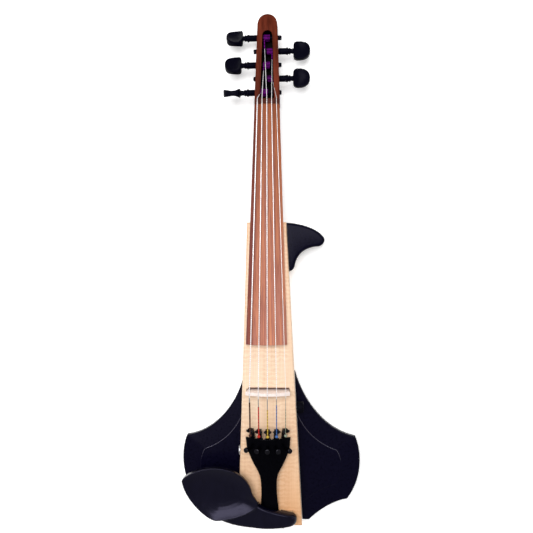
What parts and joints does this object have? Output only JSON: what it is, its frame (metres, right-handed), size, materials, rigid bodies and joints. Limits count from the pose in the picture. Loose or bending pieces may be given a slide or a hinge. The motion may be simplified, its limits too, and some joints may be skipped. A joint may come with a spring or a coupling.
{
  "type": "electric violin",
  "caption": "Solid electric violin: tapered maple plank body, black side wings and hand stop, long neck with slotted head and side pegs, chin rest at the tail.",
  "frame": {"origin": "on the flat back of the plank, right below the bridge, on the string line", "axes": "+Y along the strings to the head, +Z out of the front to the strings, +X to the treble side"},
  "size_m": [0.2089, 0.5991, 0.0577],
  "materials": {
    "maple": "pale figured maple under clear satin lacquer",
    "redwood": "oiled red-brown hardwood",
    "fingerboard_wood": "brown hardwood with mauve and orange streaks along the grain",
    "satin_black_lacquer": "satin black lacquer on carved wood",
    "tailpiece_black": "satin black composite",
    "bone": "off-white, finely polished",
    "brass": "brass-cased piezo strip",
    "ebony": "black polished ebony",
    "black_metal": "black anodised metal",
    "steel": "nickelled steel",
    "string_wire": "silver-white wound string",
    "cork": "natural cork",
    "black_plastic": "black moulded plastic"
  },
  "bodies": {
    "violin": {"bridge": "bone", "bridge_pickup": "brass", "cavity_cover": "black_plastic", "centre_block": "maple", "chinrest": "ebony", "chinrest_pad_bass": "cork", "chinrest_pad_treble": "cork", "clamp_lug_bass": "black_metal", "clamp_lug_treble": "black_metal", "cover_screw_1": "black_metal", "cover_screw_2": "black_metal", "cover_screw_3": "black_metal", "cover_screw_4": "black_metal", "end_button": "ebony", "end_saddle": "ebony", "fingerboard": "fingerboard_wood", "hand_stop_horn": "satin_black_lacquer", "jack_lead": "black_plastic", "neck": "redwood", "nut": "redwood", "output_jack": "steel", "pickup_lead": "black_plastic", "string_a": "string_wire", "string_c": "string_wire", "string_d": "string_wire", "string_e": "string_wire", "string_g": "string_wire", "tailgut": "black_plastic", "tailpiece": "tailpiece_black", "volume_pot": "black_metal", "wing_bass": "satin_black_lacquer", "wing_treble": "satin_black_lacquer"},
    "peg_c_body": {"peg_c": "ebony"},
    "peg_e_body": {"peg_e": "ebony"},
    "peg_g_body": {"peg_g": "ebony"},
    "peg_a_body": {"peg_a": "ebony"},
    "peg_d_body": {"peg_d": "ebony"},
    "tuner_screw_c_body": {"tuner_screw_c": "black_metal"},
    "tuner_lever_c_body": {"tuner_lever_c": "black_metal"},
    "tuner_screw_g_body": {"tuner_screw_g": "black_metal"},
    "tuner_lever_g_body": {"tuner_lever_g": "black_metal"},
    "tuner_screw_d_body": {"tuner_screw_d": "black_metal"},
    "tuner_lever_d_body": {"tuner_lever_d": "black_metal"},
    "tuner_screw_a_body": {"tuner_screw_a": "black_metal"},
    "tuner_lever_a_body": {"tuner_lever_a": "black_metal"},
    "tuner_screw_e_body": {"tuner_screw_e": "black_metal"},
    "tuner_lever_e_body": {"tuner_lever_e": "black_metal"},
    "clamp_barrel_bass_body": {"clamp_barrel_bass": "black_metal"},
    "clamp_barrel_treble_body": {"clamp_barrel_treble": "black_metal"},
    "clamp_foot_body": {"clamp_foot": "black_metal", "clamp_foot_pad": "cork"},
    "volume_knob_body": {"volume_knob": "black_plastic"}
  },
  "joints": [
    {"name": "peg_c_turn", "type": "hinge", "parent": "violin", "child": "peg_c_body", "pos_m": [0, 0.3447, 0.02713], "axis": [1, 0, 0], "continuous": true},
    {"name": "peg_e_turn", "type": "hinge", "parent": "violin", "child": "peg_e_body", "pos_m": [0, 0.3614, 0.02492], "axis": [1, 0, 0], "continuous": true},
    {"name": "peg_g_turn", "type": "hinge", "parent": "violin", "child": "peg_g_body", "pos_m": [0, 0.3781, 0.02271], "axis": [1, 0, 0], "continuous": true},
    {"name": "peg_a_turn", "type": "hinge", "parent": "violin", "child": "peg_a_body", "pos_m": [0, 0.3948, 0.02051], "axis": [1, 0, 0], "continuous": true},
    {"name": "peg_d_turn", "type": "hinge", "parent": "violin", "child": "peg_d_body", "pos_m": [0, 0.4115, 0.0183], "axis": [1, 0, 0], "continuous": true},
    {"name": "tuner_screw_c_turn", "type": "hinge", "parent": "violin", "child": "tuner_screw_c_body", "pos_m": [-0.0204, -0.062, 0.04499], "axis": [-0.4636, 0, 0.886], "range_deg": [-720, 0]},
    {"name": "tuner_lever_c_tilt", "type": "hinge", "parent": "violin", "child": "tuner_lever_c_body", "pos_m": [-0.0179, -0.0516, 0.0402], "axis": [0.886, 0, 0.4636], "range_deg": [0, 5]},
    {"name": "tuner_screw_g_turn", "type": "hinge", "parent": "violin", "child": "tuner_screw_g_body", "pos_m": [-0.0102, -0.062, 0.0488], "axis": [-0.2318, 0, 0.9728], "range_deg": [-720, 0]},
    {"name": "tuner_lever_g_tilt", "type": "hinge", "parent": "violin", "child": "tuner_lever_g_body", "pos_m": [-0.00895, -0.0516, 0.04355], "axis": [0.9728, 0, 0.2318], "range_deg": [0, 5]},
    {"name": "tuner_screw_d_turn", "type": "hinge", "parent": "violin", "child": "tuner_screw_d_body", "pos_m": [0, -0.062, 0.05], "axis": [0, 0, 1], "range_deg": [-720, 0]},
    {"name": "tuner_lever_d_tilt", "type": "hinge", "parent": "violin", "child": "tuner_lever_d_body", "pos_m": [0, -0.0516, 0.0446], "axis": [1, 0, 0], "range_deg": [0, 5]},
    {"name": "tuner_screw_a_turn", "type": "hinge", "parent": "violin", "child": "tuner_screw_a_body", "pos_m": [0.0102, -0.062, 0.0488], "axis": [0.2318, 0, 0.9728], "range_deg": [-720, 0]},
    {"name": "tuner_lever_a_tilt", "type": "hinge", "parent": "violin", "child": "tuner_lever_a_body", "pos_m": [0.00895, -0.0516, 0.04355], "axis": [0.9728, 0, -0.2318], "range_deg": [0, 5]},
    {"name": "tuner_screw_e_turn", "type": "hinge", "parent": "violin", "child": "tuner_screw_e_body", "pos_m": [0.0204, -0.062, 0.04499], "axis": [0.4636, 0, 0.886], "range_deg": [-720, 0]},
    {"name": "tuner_lever_e_tilt", "type": "hinge", "parent": "violin", "child": "tuner_lever_e_body", "pos_m": [0.0179, -0.0516, 0.0402], "axis": [0.886, 0, -0.4636], "range_deg": [0, 5]},
    {"name": "clamp_barrel_bass_turn", "type": "hinge", "parent": "violin", "child": "clamp_barrel_bass_body", "pos_m": [-0.01235, -0.1555, 0.017], "axis": [0, 0, 1], "range_deg": [0, 1280]},
    {"name": "clamp_barrel_treble_turn", "type": "hinge", "parent": "violin", "child": "clamp_barrel_treble_body", "pos_m": [0.01565, -0.1555, 0.017], "axis": [0, 0, 1], "range_deg": [0, 1280]},
    {"name": "clamp_foot_slide", "type": "slide", "parent": "violin", "child": "clamp_foot_body", "axis": [0, 0, -1], "range_m": [0, 0.005]},
    {"name": "volume_knob_turn", "type": "hinge", "parent": "violin", "child": "volume_knob_body", "pos_m": [0.036, -0.0194, 0.025], "axis": [1, 0, 0], "range_deg": [-300, 0]}
  ],
  "couplings": [
    {"joint": "tuner_lever_c_tilt", "follows": "tuner_screw_c_turn", "ratio": -0.00694},
    {"joint": "tuner_lever_g_tilt", "follows": "tuner_screw_g_turn", "ratio": -0.00694},
    {"joint": "tuner_lever_d_tilt", "follows": "tuner_screw_d_turn", "ratio": -0.00694},
    {"joint": "tuner_lever_a_tilt", "follows": "tuner_screw_a_turn", "ratio": -0.00694},
    {"joint": "tuner_lever_e_tilt", "follows": "tuner_screw_e_turn", "ratio": -0.00694},
    {"joint": "clamp_barrel_bass_turn", "follows": "clamp_foot_slide", "rad_per_m": 4460},
    {"joint": "clamp_barrel_treble_turn", "follows": "clamp_foot_slide", "rad_per_m": 4460}
  ]
}
